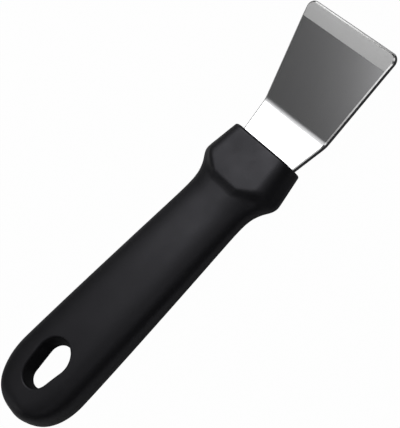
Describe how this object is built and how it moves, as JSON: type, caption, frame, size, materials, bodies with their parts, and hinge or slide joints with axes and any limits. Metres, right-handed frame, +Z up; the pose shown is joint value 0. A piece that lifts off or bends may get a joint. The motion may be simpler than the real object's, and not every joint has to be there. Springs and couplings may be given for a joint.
{
  "type": "ceramic hob scraper",
  "caption": "Flat bent stainless scraper blade, ground at its wide edge, held by a hidden tang in a black plastic handle with a hanging slot.",
  "frame": {"origin": "middle of the bounding box in plan, at the level of the handle's flat underside", "axes": "+X from the butt to the scraping edge, +Z up out of the handle's top face, +Y to the left"},
  "size_m": [0.2004, 0.0498, 0.0209],
  "materials": {
    "stainless_steel": "fine satin rolled sheet, ground matt at the scraping edge",
    "black_plastic": "fine mould grain, dull sheen"
  },
  "bodies": {
    "root": {"blade": "stainless_steel", "handle": "black_plastic"}
  },
  "joints": []
}
